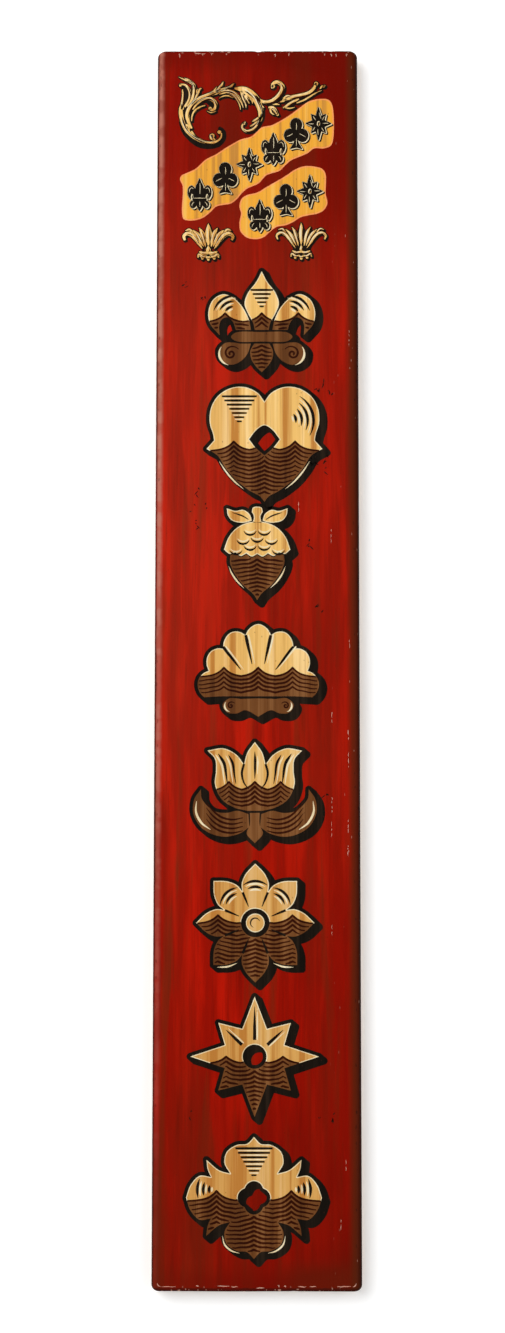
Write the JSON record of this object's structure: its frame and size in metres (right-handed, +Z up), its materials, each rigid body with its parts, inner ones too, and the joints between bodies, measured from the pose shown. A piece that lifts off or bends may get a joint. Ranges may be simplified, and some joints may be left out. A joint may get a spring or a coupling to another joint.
{
  "type": "wall sign",
  "caption": "Tall narrow wall sign: a painted wood plank with eased edges, two swinging D-ring hangers and rubber bumpers on its back.",
  "frame": {"origin": "on the wall plane, midway between the two hangers, level with the points where the wall hooks carry the rings", "axes": "+Z up along the plank, +Y from the sign into the wall, so the painted face looks along -Y and +X is to its right"},
  "size_m": [0.184, 0.024, 1.12],
  "materials": {
    "painted_wood": "crimson ground coat under an aged satin varnish, bare pine on the back",
    "gilding": "gold size and leaf toned with varnish, painted on the plank",
    "umber_paint": "umber signwriter's enamel, painted on the plank",
    "black_paint": "black signwriter's enamel, painted on the plank",
    "cream_paint": "cream signwriter's enamel, painted on the plank",
    "zinc_strap": "zinc plated strip",
    "ring_wire": "zinc plated wire",
    "brass_screw": "aged brass",
    "bumper_rubber": "moulded dark brown rubber"
  },
  "bodies": {
    "sign": {"plank": "painted_wood", "left_strap": "zinc_strap", "right_strap": "zinc_strap", "left_upper_screw": "brass_screw", "left_lower_screw": "brass_screw", "right_upper_screw": "brass_screw", "right_lower_screw": "brass_screw", "top_left_bumper": "bumper_rubber", "top_right_bumper": "bumper_rubber", "bottom_left_bumper": "bumper_rubber", "bottom_right_bumper": "bumper_rubber"},
    "left_hanger_ring": {"left_ring": "ring_wire"},
    "right_hanger_ring": {"right_ring": "ring_wire"}
  },
  "joints": [
    {"name": "left_ring_swing", "type": "hinge", "parent": "sign", "child": "left_hanger_ring", "pos_m": [-0.056, -0.00265, -0.01328], "axis": [-1, 0, 0], "range_deg": [0, 179]},
    {"name": "right_ring_swing", "type": "hinge", "parent": "sign", "child": "right_hanger_ring", "pos_m": [0.056, -0.00265, -0.01328], "axis": [-1, 0, 0], "range_deg": [0, 179]}
  ]
}
